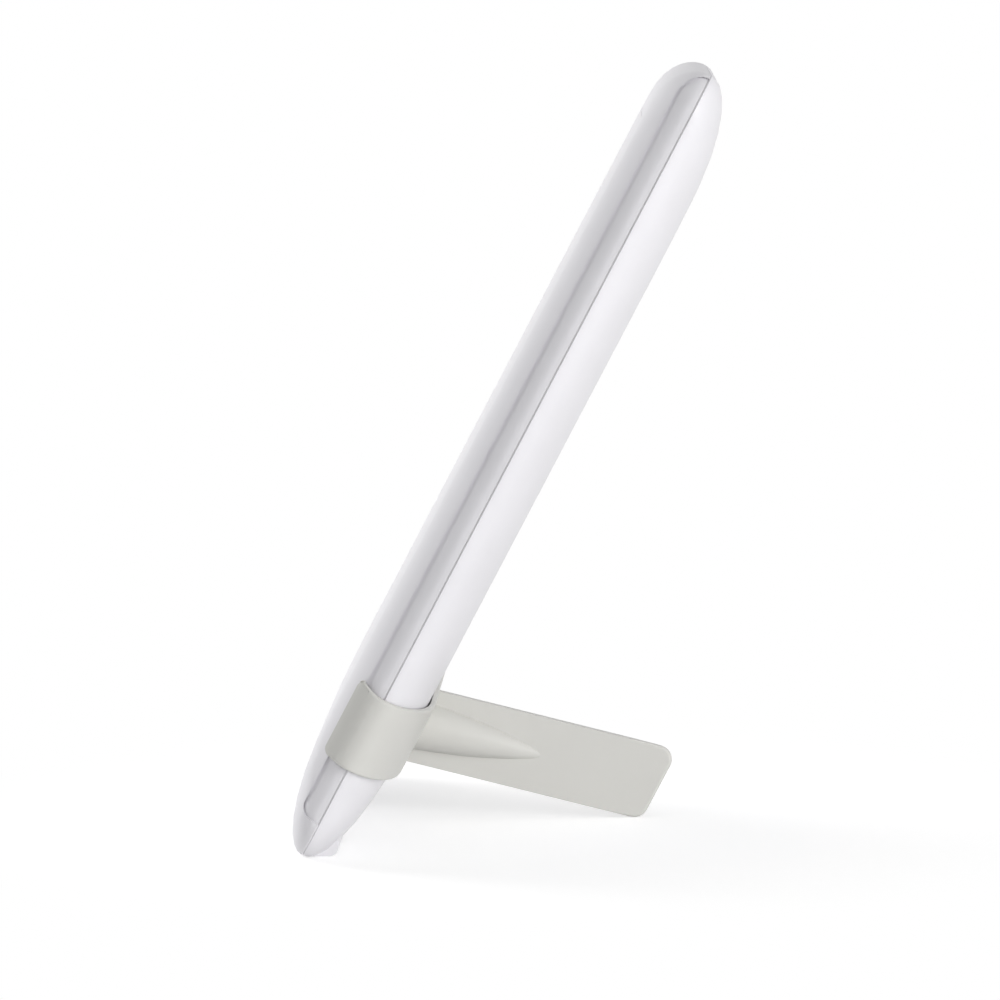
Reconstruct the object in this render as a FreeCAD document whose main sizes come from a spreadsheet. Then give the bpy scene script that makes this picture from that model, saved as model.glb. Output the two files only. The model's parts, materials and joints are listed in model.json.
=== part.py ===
"""Light therapy lamp: a slim tablet of two moulded shells, leaning back on a clip-on stand.

Every piece is drawn in the lamp's own axes: X across the lamp, Y from front to back with the
parting plane of the shells at Y = 0, and Z up along the lamp from its bottom end. A shared
Placement then leans the assembly back by lean_angle and stands it on the floor, Z = 0.
"""
import FreeCAD, Part

import math
import os

import Sketcher
from FreeCAD import Placement, Rotation, Vector

SIZES = [
    # name, value (mm or degrees), meaning
    ("body_width", 155.0, "width of the lamp over its shells"),
    ("body_length", 237.0, "length of the lamp along its own axis"),
    ("front_depth", 10.9, "depth of the front frame ahead of the parting plane"),
    ("rear_depth", 12.0, "depth of the rear shell behind the parting plane"),
    ("corner_radius", 13.0, "radius of the outline's corners"),
    ("shell_wall", 2.0, "wall of both shells"),
    ("front_round_side", 20.0, "run of the front frame's rounding, at the sides"),
    ("front_round_top", 14.0, "run of the front frame's rounding, at the top end"),
    ("front_round_bottom", 35.0, "run of the front frame's rounding, at the bottom end"),
    ("rear_round", 36.0, "run of the rear shell's rounding, all round"),
    ("lean_angle", 27.7, "lean of the lamp from the vertical"),
    ("floor_gap", 0.5, "height of the shells' bottom edge above the floor"),
    ("scoop_height", 6.1, "reach of the side scoops ahead of the parting plane"),
    ("scoop_depth", 0.5, "depth of the side scoops"),
    ("scoop_bottom", 11.6, "start of the side scoops above the bottom end"),
    ("scoop_top_gap", 1.1, "end of the side scoops below the top end"),
    ("scoop_corner", 3.4, "radius of the scoops' lower front corner"),
    ("scoop_arch", 8.0, "length of the scoops' arched top"),
    ("window_margin_side", 24.5, "frame at each side of the window"),
    ("window_margin_top", 19.0, "frame above the window"),
    ("window_margin_bottom", 42.0, "frame below the window"),
    ("window_corner", 12.0, "corner radius of the window"),
    ("panel_flange", 3.0, "rim of the diffuser behind the frame"),
    ("panel_thickness", 1.2, "thickness of the diffuser's rim"),
    ("panel_recess", 0.3, "depth of the diffuser's face below the frame"),
    ("panel_play", 0.03, "play between the diffuser's rim and the frame"),
    ("panel_clearance", 0.15, "gap round the diffuser's face in the window"),
    ("film_thickness", 0.3, "thickness of the diffusing film"),
    ("film_inset", 0.8, "film's edge inside the diffuser's edge"),
    ("tray_inset", 1.6, "tray's edge inside the diffuser's edge"),
    ("tray_depth", 9.0, "depth of the reflector tray"),
    ("tray_wall", 1.0, "wall of the reflector tray at its rim"),
    ("tray_flare", 2.4, "slope of the tray's inner walls"),
    ("tray_floor", 0.8, "floor of the reflector tray"),
    ("board_thickness", 1.2, "thickness of both circuit boards"),
    ("board_inset", 1.0, "light board's edge inside the tray's edge"),
    ("led_columns", 6.0, "columns of lamps on the light board"),
    ("led_rows", 10.0, "rows of lamps on the light board"),
    ("led_width", 3.5, "width of a lamp chip"),
    ("led_length", 2.8, "length of a lamp chip"),
    ("led_height", 0.7, "height of a lamp chip"),
    ("led_border", 11.0, "outer lamps' distance from the light board's edge"),
    ("led_hole_gap", 0.4, "gap between a lamp chip and its hole in the tray"),
    ("post_inset", 41.5, "housing screws' distance from the lamp's side"),
    ("post_bottom", 23.0, "lower housing screws above the bottom end"),
    ("post_top_gap", 9.5, "upper housing screws below the top end"),
    ("post_diameter", 6.4, "diameter of the housing screws' posts"),
    ("post_seat", 4.0, "depth of the housing screws' seats behind the parting plane"),
    ("housing_head_diameter", 4.4, "diameter of the housing screws' heads"),
    ("housing_head_height", 1.8, "height of the housing screws' heads"),
    ("housing_screw_diameter", 2.5, "diameter of the housing screws' shanks"),
    ("housing_screw_length", 9.0, "length of the housing screws' shanks"),
    ("screw_clearance", 0.15, "gap between a screw and its clearance hole"),
    ("thread_clearance", 0.02, "gap between a screw and its pilot hole"),
    ("board_post_inset", 5.0, "light board's screws from the board's edge"),
    ("board_post_diameter", 5.0, "diameter of the posts under the boards"),
    ("small_head_diameter", 3.8, "diameter of the board screws' heads"),
    ("small_head_height", 1.2, "height of the board screws' heads"),
    ("small_screw_diameter", 2.0, "diameter of the board screws' shanks"),
    ("small_screw_length", 5.5, "length of the board screws' shanks"),
    ("driver_width", 72.0, "width of the driver board"),
    ("driver_length", 44.0, "length of the driver board"),
    ("driver_bottom", 66.0, "driver board's lower edge above the bottom end"),
    ("driver_standoff", 3.6, "driver board's height off the rear wall"),
    ("driver_post_inset", 4.0, "driver board's screws from its corners"),
    ("driver_screw_length", 4.0, "length of the driver board's screws"),
    ("button_across", 20.0, "power button's place across the lamp"),
    ("button_up", 94.0, "power button's place above the bottom end"),
    ("button_diameter", 14.0, "diameter of the power button"),
    ("button_clearance", 0.2, "gap round the power button"),
    ("button_recess", 0.2, "power button's face below the rear face"),
    ("button_flange", 1.5, "width of the power button's retaining flange"),
    ("button_flange_thickness", 0.7, "thickness of the retaining flange"),
    ("button_seat_gap", 0.05, "play between the flange and the rear wall"),
    ("button_dish", 0.5, "depth of the finger dish in the button"),
    ("button_dish_diameter", 10.0, "diameter of the finger dish"),
    ("button_travel", 0.6, "travel of the power button"),
    ("switch_width", 6.0, "width of the switch's housing"),
    ("switch_height", 1.8, "height of the switch's housing"),
    ("plunger_diameter", 3.2, "diameter of the switch's plunger"),
    ("plunger_clearance", 0.06, "running gap round the plunger"),
    ("plunger_sink", 0.9, "plunger's bore in the switch's housing"),
    ("plunger_seat", 0.15, "plunger's foot above the bore's floor when pressed"),
    ("jack_across", -22.0, "power inlet's place across the lamp"),
    ("jack_up", 80.0, "power inlet's place above the bottom end"),
    ("jack_body", 9.0, "width of the power inlet's body"),
    ("jack_nose", 8.0, "diameter of the power inlet's nose"),
    ("jack_bore", 5.6, "diameter of the power inlet's bore"),
    ("jack_floor", 1.2, "floor of the power inlet behind its bore"),
    ("jack_recess", 0.3, "power inlet's nose below the rear face"),
    ("jack_pin", 2.1, "diameter of the power inlet's pin"),
    ("jack_pin_short", 0.8, "pin's end below the inlet's nose"),
    ("jack_gap", 0.2, "gap between the power inlet and the light board"),
    ("jack_fit", 0.1, "gap round the power inlet in the rear wall"),
    ("contact_thickness", 0.3, "thickness of the inlet's spring contact"),
    ("contact_width", 2.0, "width of the inlet's spring contact"),
    ("coil_diameter", 9.0, "diameter of the driver's coil"),
    ("coil_height", 3.2, "height of the driver's coil"),
    ("capacitor_diameter", 3.2, "diameter of the driver's capacitors"),
    ("capacitor_length", 8.0, "length of the driver's capacitors"),
    ("chip_width", 5.0, "width of the controller chip"),
    ("chip_height", 1.5, "height of the controller chip"),
    ("header_length", 10.0, "length of the header between the boards"),
    ("header_width", 2.5, "width of the header between the boards"),
    ("foot_inset", 23.5, "feet's middle from the lamp's side"),
    ("foot_width", 22.0, "width of each foot"),
    ("foot_front", 3.0, "front of the feet behind the parting plane"),
    ("foot_back", 9.1, "back of the feet behind the parting plane, at the floor"),
    ("foot_height", 6.5, "height of the feet's upright back"),
    ("foot_corner", 2.6, "radius of the feet's back corner"),
    ("stand_bottom", 28.5, "lower rim of the stand above the bottom end"),
    ("stand_height", 21.4, "height of the stand's band along the lamp"),
    ("stand_wall", 1.5, "wall of the stand's band"),
    ("stand_gap", 0.3, "gap between the shells and the clips"),
    ("stand_back_gap", 0.5, "gap between the rear shell and the band"),
    ("clip_wrap", 40.0, "degrees that the clips wrap round the front's rounding"),
    ("clip_rise_top", 2.2, "rise of the clips' upper rim at the lips"),
    ("clip_rise_bottom", 1.3, "rise of the clips' lower rim at the lips"),
    ("clip_corner_top", 1.2, "radius of the lips' upper corners"),
    ("clip_corner_bottom", 2.2, "radius of the lips' lower corners"),
    ("rib_inset", 51.5, "grip ribs' distance from the lamp's side"),
    ("rib_width", 0.8, "width of the grip ribs"),
    ("rib_gap", 0.12, "gap between the grip ribs and the rear shell"),
    ("fin_reach", 81.8, "fin's end behind the parting plane"),
    ("fin_thickness", 2.6, "thickness of the fin"),
    ("fin_rise", 13.7, "fin's rise from the lamp's normal, in degrees"),
    ("fin_height", 22.3, "height of the fin along the lamp"),
    ("fin_corner", 4.0, "radius of the fin's outer corners"),
    ("spine_radius", 7.1, "radius of the spine at the band"),
    ("spine_length", 40.0, "length of the spine from the band"),
    ("spine_bulge", 1.2, "bulge of the spine's side"),
]

doc = FreeCAD.newDocument("light_therapy_lamp")
sheet = doc.addObject("Spreadsheet::Sheet", "sizes")
for row, (alias, number, meaning) in enumerate(SIZES, start=1):
    sheet.set(f"A{row}", meaning)
    sheet.set(f"B{row}", str(number))
    sheet.setAlias(f"B{row}", alias)
doc.recompute()

SKETCH_TURN = Rotation(Vector(1, 0, 0), 90)  # lays a sketch on the XZ plane, facing the front
parts = {}


def size(alias):
    """One driving size, as a plain number."""
    return float(getattr(sheet, alias))


def bind(thing, **formulas):
    """Bind properties to formulas over the sheet; x, y and z are the place."""
    for name, formula in formulas.items():
        path = f"Placement.Base.{name}" if name in ("x", "y", "z") else name
        thing.setExpression(path, formula)
    return thing


def add(kind, name, **formulas):
    return bind(doc.addObject(kind, name), **formulas)


def block(name, **formulas):
    """A box with a formula for each of Length, Width and Height and for its place."""
    return add("Part::Box", name, **formulas)


def peg(name, **formulas):
    """A round pin along Y, from its place towards the back."""
    pin = doc.addObject("Part::Cylinder", name)
    pin.Placement = Placement(Vector(), Rotation(Vector(1, 0, 0), -90))
    return bind(pin, **formulas)


def cut(name, base, *tools):
    """The base with every tool taken out of it."""
    for number, tool in enumerate(tools, start=1):
        last = number == len(tools)
        step = doc.addObject("Part::Cut", name if last else f"{name}_cut_{number}")
        step.Base = base
        step.Tool = tool
        base = step
    return base


def fuse(name, *shapes):
    joined = doc.addObject("Part::MultiFuse", name)
    joined.Shapes = list(shapes)
    joined.Refine = True
    return joined


def common(name, first, second):
    shared = doc.addObject("Part::Common", name)
    shared.Base = first
    shared.Tool = second
    return shared


def feature(name, shape):
    """A piece whose shape comes from Part's own functions."""
    piece = doc.addObject("Part::Feature", name)
    piece.Shape = shape
    return piece


def keep(label, piece):
    """Name a finished sub-part. A primitive, whose place is a formula, is carried by a group."""
    if piece.TypeId in ("Part::Box", "Part::Cylinder"):
        group = doc.addObject("Part::Compound", f"{label}_piece")
        group.Links = [piece]
        piece.Label = f"{label}_shape"
        piece = group
    piece.Label = label
    parts[label] = piece
    return piece


# ---------------------------------------------------------------- outlines and shell forms

def rounded_outline(name, left, right, low, high, radius, level):
    """A rounded rectangle on an XZ plane at Y = level, every size a formula."""
    sketch = doc.addObject("Sketcher::SketchObject", name)
    sketch.Placement = Placement(Vector(), SKETCH_TURN)
    start = {key: float(sheet.evalExpression(rule)) for key, rule in
             (("l", left), ("r", right), ("b", low), ("t", high), ("c", radius))}
    west, east, south, north, turn = (start[key] for key in "lrbtc")
    corners = [(east - turn, south + turn, 270), (east - turn, north - turn, 0),
               (west + turn, north - turn, 90), (west + turn, south + turn, 180)]
    runs = [((west + turn, south), (east - turn, south)), ((east, south + turn), (east, north - turn)),
            ((east - turn, north), (west + turn, north)), ((west, north - turn), (west, south + turn))]
    for (begin, end), (x, z, angle) in zip(runs, corners):
        sketch.addGeometry(Part.LineSegment(Vector(*begin, 0), Vector(*end, 0)))
        circle = Part.Circle(Vector(x, z, 0), Vector(0, 0, 1), turn)
        sketch.addGeometry(Part.ArcOfCircle(circle, math.radians(angle), math.radians(angle + 90)))
    rule = Sketcher.Constraint
    for side in range(4):
        line, arc, following = 2 * side, 2 * side + 1, (2 * side + 2) % 8
        sketch.addConstraint(rule("Tangent", line, 2, arc, 1))
        sketch.addConstraint(rule("Tangent", arc, 2, following, 1))
        sketch.addConstraint(rule("Vertical" if side % 2 else "Horizontal", line))
        if side:
            sketch.addConstraint(rule("Equal", 1, arc))
    limits = [("DistanceX", 6, left, west), ("DistanceX", 2, right, east),
              ("DistanceY", 0, low, south), ("DistanceY", 4, high, north)]
    for kind, line, formula, value in limits:
        index = sketch.addConstraint(rule(kind, -1, 1, line, 1, value))
        sketch.setExpression(f"Constraints[{index}]", formula)
    index = sketch.addConstraint(rule("Radius", 1, turn))
    sketch.setExpression(f"Constraints[{index}]", radius)
    sketch.setExpression("Placement.Base.y", level)
    return sketch


def at(y, z):
    """A point of a side view."""
    return Vector(0, y, z)


def line(begin, end):
    return Part.LineSegment(begin, end).toShape()


def arc(begin, through, end):
    return Part.Arc(begin, through, end).toShape()


FINE_STEPS = (0, 8, 17, 27, 38, 50, 63, 76, 90)  # degrees round the quarter ellipse
PLAIN_STEPS = (0, 30, 60, 90)


def shell_form(name, facing, depth, side_run, top_run, bottom_run, inside=0.0, plain=False):
    """A dished solid on the parting plane: its rounded outline closes in along a quarter ellipse.

    facing is -1 towards the front and 1 towards the back. inside moves the whole surface
    inwards, which makes the cavity of a shell with an even wall. plain draws the hidden forms
    with fewer steps and with the corners cut in straight pieces.
    """
    turn = size("corner_radius") - inside
    half, low, high = size("body_width") / 2 - inside, inside, size("body_length") - inside
    corners = [(1, -1, bottom_run), (1, 1, top_run), (-1, 1, top_run), (-1, -1, bottom_run)]

    def outline(degrees):
        share, level = 1 - math.cos(math.radians(degrees)), math.sin(math.radians(degrees))
        bends = []
        for x_sign, z_sign, run in corners:
            centre = Vector(x_sign * (half - turn - (side_run - inside) * share),
                            facing * (depth - inside) * level,
                            (high - turn if z_sign > 0 else low + turn)
                            - z_sign * (run - inside) * share)
            aside, upward = Vector(x_sign * turn, 0, 0), Vector(0, 0, z_sign * turn)
            bend = [centre + aside, centre + (aside + upward) * math.sqrt(0.5), centre + upward]
            bends.append(bend if x_sign * z_sign > 0 else bend[::-1])
        edges = []
        for bend, following in zip(bends, bends[1:] + bends[:1]):
            edges += [line(bend[0], bend[1]), line(bend[1], bend[2])] if plain else [arc(*bend)]
            edges.append(line(bend[2], following[0]))
        return Part.Wire(edges)

    steps = PLAIN_STEPS if plain else FINE_STEPS
    return feature(name, Part.makeLoft([outline(step) for step in steps], True, True))


def front_form(name, inside=0.0, plain=False):
    return shell_form(name, -1, size("front_depth"), size("front_round_side"),
                      size("front_round_top"), size("front_round_bottom"), inside, plain)


def rear_form(name, inside=0.0, plain=False):
    run = size("rear_round")
    return shell_form(name, 1, size("rear_depth"), run, run, run, inside, plain)


def side_prism(name, wire, near, far):
    """A side-view outline, drawn at X = 0, as a solid from X = near to X = far."""
    outline = wire.copy()
    outline.translate(Vector(near, 0, 0))
    return feature(name, Part.Face(outline).extrude(Vector(far - near, 0, 0)))


def quarter(centre, toward, around, turns=(0, 1)):
    """An elliptical arc from centre + toward to centre + around, or the given share of it."""
    return [centre + toward * math.cos(share * math.pi / 2) + around * math.sin(share * math.pi / 2)
            for share in (turns[0], (turns[0] + turns[1]) / 2, turns[1])]


# ---------------------------------------------------------------- front frame

HALF = "sizes.body_width / 2"
FRONT_INNER = "(sizes.front_depth - sizes.shell_wall)"
REAR_INNER = "(sizes.rear_depth - sizes.shell_wall)"
WINDOW_HALF = "(sizes.body_width / 2 - sizes.window_margin_side)"
WINDOW_LOW = "sizes.window_margin_bottom"
WINDOW_HIGH = "sizes.body_length - sizes.window_margin_top"


def scoop_outline():
    """Side view of a scoop: straight front edge, arched top and a round lower corner."""
    reach, turn = size("scoop_height"), size("scoop_corner")
    low, high = size("scoop_bottom"), size("body_length") - size("scoop_top_gap")
    shoulder, behind = high - size("scoop_arch"), size("shell_wall")
    arch = Part.Ellipse(at(0, high), at(-reach, shoulder), at(0, shoulder))
    upper = Part.ArcOfEllipse(arch, 0, math.pi / 2).toShape()
    corner = arc(*quarter(at(turn - reach, low + turn), at(-turn, 0), at(0, -turn)))
    tips = [vertex.Point for vertex in upper.Vertexes]
    top = max(tips, key=lambda tip: tip.z)
    side = min(tips, key=lambda tip: tip.z)
    return Part.Wire(Part.__sortEdges__([
        upper, line(side, at(-reach, low + turn)), corner, line(at(turn - reach, low), at(behind, low)),
        line(at(behind, low), at(behind, top.z)), line(at(behind, top.z), top)]))


def corner_pegs(name, places, start, reach, diameter):
    """One round pin along Y at each place; start and reach are formulas."""
    pins = []
    for number, (across, up) in enumerate(places, start=1):
        pins.append(peg(f"{name}_{number}", Radius=f"{diameter} / 2", Height=reach,
                        x=across, y=start, z=up))
    return pins


HOUSING_PLACES = [(f"{sign} * ({HALF} - sizes.post_inset)", up)
                  for sign in (-1, 1)
                  for up in ("sizes.post_bottom", "sizes.body_length - sizes.post_top_gap")]
HOUSING_TIP = "(sizes.post_seat - sizes.housing_screw_length)"


def make_front_frame():
    outer = front_form("front_outer")
    cavity = front_form("front_cavity", size("shell_wall"), plain=True)
    walls = cut("front_walls", outer, cavity)
    posts = corner_pegs("front_post", HOUSING_PLACES, "-sizes.front_depth", "sizes.front_depth",
                        "sizes.post_diameter")
    limit = front_form("front_limit", size("shell_wall") / 2, plain=True)
    posts_inside = common("front_posts", fuse("front_post_set", *posts), limit)
    window_outline = rounded_outline(
        "window_outline", f"-{WINDOW_HALF}", WINDOW_HALF, WINDOW_LOW,
        WINDOW_HIGH, "sizes.window_corner", "0")
    window = add("Part::Extrusion", "window", LengthFwd="sizes.front_depth + 1")
    window.Base = window_outline
    window.DirMode = "Normal"
    window.Solid = True
    core = front_form("scoop_core", size("scoop_depth"))
    half, inward = size("body_width") / 2, size("corner_radius") + size("shell_wall")
    scoops = []
    for side, sign in (("left", -1), ("right", 1)):
        prism = side_prism(f"scoop_{side}_prism", scoop_outline(), sign * (half + 1),
                           sign * (half - inward))
        scoops.append(cut(f"scoop_{side}", prism, core))
    pilots = corner_pegs("front_pilot", HOUSING_PLACES, f"{HOUSING_TIP} - 0.5",
                         f"0.5 - {HOUSING_TIP} + 1",
                         "(sizes.housing_screw_diameter + 2 * sizes.thread_clearance)")
    solid = fuse("front_solid", walls, posts_inside)
    return keep("front_frame", cut("front_frame", solid, window, *scoops, *pilots))


# ---------------------------------------------------------------- light panel

PANEL_FRONT = f"(-{FRONT_INNER} + sizes.panel_play)"
PANEL_BACK = f"({PANEL_FRONT} + sizes.panel_thickness)"
FILM_BACK = f"({PANEL_BACK} + sizes.film_thickness)"
TRAY_BACK = f"({FILM_BACK} + sizes.tray_depth)"
BOARD_BACK = f"({TRAY_BACK} + sizes.board_thickness)"


def panel_block(name, margin, front, depth):
    """A plate behind the window; margin is its reach past the window's edge."""
    return block(name, Length=f"2 * {WINDOW_HALF} + 2 * ({margin})", Width=depth,
                 Height=f"{WINDOW_HIGH} - {WINDOW_LOW} + 2 * ({margin})",
                 x=f"-{WINDOW_HALF} - ({margin})", y=front,
                 z=f"{WINDOW_LOW} - ({margin})")


def make_diffuser():
    rim = panel_block("diffuser_rim", "sizes.panel_flange", PANEL_FRONT, "sizes.panel_thickness")
    face_outline = rounded_outline(
        "diffuser_face_outline", f"-{WINDOW_HALF} + sizes.panel_clearance",
        f"{WINDOW_HALF} - sizes.panel_clearance",
        f"{WINDOW_LOW} + sizes.panel_clearance", f"{WINDOW_HIGH} - sizes.panel_clearance",
        "sizes.window_corner - sizes.panel_clearance", PANEL_BACK)
    face = add("Part::Extrusion", "diffuser_face",
               LengthFwd=f"sizes.front_depth + {PANEL_BACK} - sizes.panel_recess")
    face.Base = face_outline
    face.DirMode = "Normal"
    face.Solid = True
    keep("diffuser_panel", fuse("diffuser_panel", rim, face))
    keep("diffuser_film", panel_block("diffuser_film", "sizes.panel_flange - sizes.film_inset",
                                      PANEL_BACK, "sizes.film_thickness"))


TRAY_MARGIN = "sizes.panel_flange - sizes.tray_inset"
BOARD_MARGIN = f"{TRAY_MARGIN} - sizes.board_inset"


def led_places():
    """Centres of the lamp chips, as (x, z), in an even grid over the light board."""
    margin = size("panel_flange") - size("tray_inset") - size("board_inset") - size("led_border")
    half = size("body_width") / 2 - size("window_margin_side") + margin
    low = size("window_margin_bottom") - margin
    high = size("body_length") - size("window_margin_top") + margin
    columns, rows = round(size("led_columns")), round(size("led_rows"))
    for column in range(columns):
        for row in range(rows):
            yield (-half + 2 * half * column / max(columns - 1, 1),
                   low + (high - low) * row / max(rows - 1, 1))


def led_blocks(grow, front, depth):
    """One box per lamp chip, each larger than the chip by grow on every side."""
    wide, tall = size("led_width") + 2 * grow, size("led_length") + 2 * grow
    return [Part.makeBox(wide, depth, tall, Vector(x - wide / 2, front, z - tall / 2))
            for x, z in led_places()]


def board_front():
    """Y of the light board's front face."""
    return (size("shell_wall") - size("front_depth") + size("panel_play")
            + size("panel_thickness") + size("film_thickness") + size("tray_depth"))


BOARD_SIDE = f"({WINDOW_HALF} + {BOARD_MARGIN} - sizes.board_post_inset)"
BOARD_SCREW_PLACES = [
    (f"-{BOARD_SIDE}", f"{WINDOW_LOW} - ({BOARD_MARGIN}) + sizes.board_post_inset"),
    (BOARD_SIDE, f"{WINDOW_HIGH} + {BOARD_MARGIN} - sizes.board_post_inset")]


def make_light_engine():
    board = panel_block("led_board_plate", BOARD_MARGIN, TRAY_BACK, "sizes.board_thickness")
    clearance = "(sizes.small_screw_diameter + 2 * sizes.screw_clearance)"
    tray_front = f"({TRAY_BACK} - sizes.tray_floor)"
    holes = corner_pegs("led_board_hole", BOARD_SCREW_PLACES, f"{tray_front} - 1",
                        "sizes.board_thickness + sizes.tray_floor + 2", clearance)
    keep("led_board", cut("led_board", board, *holes))
    chips = led_blocks(0, board_front() - size("led_height"), size("led_height"))
    keep("led_chips", feature("led_chips", Part.makeCompound(chips)))

    tray_outer = panel_block("tray_outer", TRAY_MARGIN, FILM_BACK, "sizes.tray_depth")
    well = doc.addObject("Part::Wedge", "tray_well")
    across = f"({WINDOW_HALF} + {TRAY_MARGIN} - sizes.tray_wall)"
    low = f"({WINDOW_LOW} - ({TRAY_MARGIN}) + sizes.tray_wall)"
    high = f"({WINDOW_HIGH} + {TRAY_MARGIN} - sizes.tray_wall)"
    bind(well, Xmin=f"-{across}", Xmax=across, Zmin=low, Zmax=high, Ymin=FILM_BACK,
         Ymax=tray_front, X2min=f"-{across} + sizes.tray_flare", X2max=f"{across} - sizes.tray_flare",
         Z2min=f"{low} + sizes.tray_flare", Z2max=f"{high} - sizes.tray_flare")
    openings = led_blocks(size("led_hole_gap"), board_front() - size("tray_floor") - 1,
                          size("tray_floor") + 2)
    grid = feature("tray_openings", Part.makeCompound(openings))
    tray_holes = corner_pegs("tray_hole", BOARD_SCREW_PLACES, f"{tray_front} - 1",
                             "sizes.tray_floor + 2", clearance)
    keep("reflector_tray", cut("reflector_tray", tray_outer, well, grid, *tray_holes))
    make_screws("board_screws", BOARD_SCREW_PLACES, f"({tray_front})", "small_head_diameter",
                "small_head_height", "small_screw_diameter", "small_screw_length")


def make_screws(label, places, seat, head_width, head_height, shank_width, shank_length, back=0):
    """Screws with round heads: their shanks point to the back, or to the front when back is 1."""
    screws = []
    for number, (across, up) in enumerate(places, start=1):
        head = peg(f"{label}_head_{number}", Radius=f"sizes.{head_width} / 2",
                   Height=f"sizes.{head_height}", x=across, z=up,
                   y=f"{seat} - sizes.{head_height} * {1 - back}")
        shank = peg(f"{label}_shank_{number}", Radius=f"sizes.{shank_width} / 2",
                    Height=f"sizes.{shank_length}", x=across, z=up,
                    y=f"{seat} - sizes.{shank_length} * {back}")
        screws.append(fuse(f"{label}_{number}", head, shank))
    group = doc.addObject("Part::Compound", label)
    group.Links = screws
    return keep(label, group)


# ---------------------------------------------------------------- driver board and controls

DRIVER_BACK = f"({REAR_INNER} - sizes.driver_standoff)"
DRIVER_FRONT = f"({DRIVER_BACK} - sizes.board_thickness)"
DRIVER_SIDE = "(sizes.driver_width / 2 - sizes.driver_post_inset)"
DRIVER_PLACES = [
    (f"-{DRIVER_SIDE}", "sizes.driver_bottom + sizes.driver_length - sizes.driver_post_inset"),
    (DRIVER_SIDE, "sizes.driver_bottom + sizes.driver_post_inset")]
JACK_FRONT = f"({BOARD_BACK} + sizes.jack_gap)"
JACK_BACK = "(sizes.rear_depth - sizes.jack_recess)"


def make_driver():
    plate = block("driver_plate", Length="sizes.driver_width", Width="sizes.board_thickness",
                  Height="sizes.driver_length", x="-sizes.driver_width / 2", y=DRIVER_FRONT,
                  z="sizes.driver_bottom")
    holes = corner_pegs("driver_hole", DRIVER_PLACES, f"{DRIVER_FRONT} - 1",
                        "sizes.board_thickness + 2",
                        "(sizes.small_screw_diameter + 2 * sizes.screw_clearance)")
    width = "(sizes.jack_body + 2 * sizes.jack_gap)"
    opening = block("driver_jack_opening", Length=width, Height=width,
                    Width="sizes.board_thickness + 2", x=f"sizes.jack_across - {width} / 2",
                    y=f"{DRIVER_FRONT} - 1", z=f"sizes.jack_up - {width} / 2")
    keep("driver_board", cut("driver_board", plate, opening, *holes))
    make_screws("driver_screws", DRIVER_PLACES, DRIVER_FRONT, "small_head_diameter",
                "small_head_height", "small_screw_diameter", "driver_screw_length")

    keep("driver_coil", peg("driver_coil", Radius="sizes.coil_diameter / 2",
                            Height="sizes.coil_height", x="0", y=DRIVER_BACK,
                            z="sizes.driver_bottom + sizes.coil_diameter"))

    cans = []
    for number in (0, 1):
        can = doc.addObject("Part::Cylinder", f"capacitor_{number}")
        bind(can, Radius="sizes.capacitor_diameter / 2", Height="sizes.capacitor_length",
             x=f"sizes.driver_width / 2 - sizes.capacitor_diameter * {3.4 + 1.4 * number}",
             y=f"{DRIVER_BACK} + sizes.capacitor_diameter / 2",
             z="sizes.driver_bottom + sizes.capacitor_length / 2")
        cans.append(can)
    group = doc.addObject("Part::Compound", "filter_capacitors")
    group.Links = cans
    keep("filter_capacitors", group)

    keep("controller_chip", block(
        "controller_chip", Length="sizes.chip_width", Width="sizes.chip_height",
        Height="sizes.chip_width", x="-sizes.chip_width / 2", y=DRIVER_BACK,
        z="sizes.driver_bottom + sizes.driver_length - 2.5 * sizes.chip_width"))
    keep("board_header", block(
        "board_header", Length="sizes.header_length", Width=f"{DRIVER_FRONT} - {BOARD_BACK}",
        Height="sizes.header_width", x="-sizes.header_length / 2", y=BOARD_BACK,
        z="sizes.driver_bottom + sizes.driver_length - 2 * sizes.header_width"))


CAP_BACK = "(sizes.rear_depth - sizes.button_recess)"
CAP_FRONT = f"({REAR_INNER} - sizes.button_seat_gap - sizes.button_flange_thickness)"
SWITCH_BACK = f"({DRIVER_BACK} + sizes.switch_height)"
PLUNGER_FLOOR = f"({SWITCH_BACK} - sizes.plunger_sink)"


def make_button():
    place = {"x": "sizes.button_across", "z": "sizes.button_up"}
    cap = peg("button_stem", Radius="sizes.button_diameter / 2", Height=f"{CAP_BACK} - {CAP_FRONT}",
              y=CAP_FRONT, **place)
    flange = peg("button_flange_ring", Radius="sizes.button_diameter / 2 + sizes.button_flange",
                 Height="sizes.button_flange_thickness", y=CAP_FRONT, **place)
    ball = doc.addObject("Part::Sphere", "button_dish_ball")
    radius = "((sizes.button_dish_diameter / 2)^2 + sizes.button_dish^2) / (2 * sizes.button_dish)"
    bind(ball, Radius=radius, y=f"{CAP_BACK} - sizes.button_dish + {radius}", **place)
    keep("power_button", cut("power_button", fuse("button_cap", cap, flange), ball))

    housing = block("switch_block", Length="sizes.switch_width", Width="sizes.switch_height",
                    Height="sizes.switch_width", x="sizes.button_across - sizes.switch_width / 2",
                    y=DRIVER_BACK, z="sizes.button_up - sizes.switch_width / 2")
    bore = peg("switch_bore", Radius="sizes.plunger_diameter / 2 + sizes.plunger_clearance",
               Height="sizes.switch_height", y=PLUNGER_FLOOR, **place)
    keep("switch_housing", cut("switch_housing", housing, bore))
    foot = f"({PLUNGER_FLOOR} + sizes.button_travel + sizes.plunger_seat)"
    keep("switch_plunger", peg("switch_plunger", Radius="sizes.plunger_diameter / 2",
                               Height=f"{CAP_FRONT} - {foot}", y=foot, **place))


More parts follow.
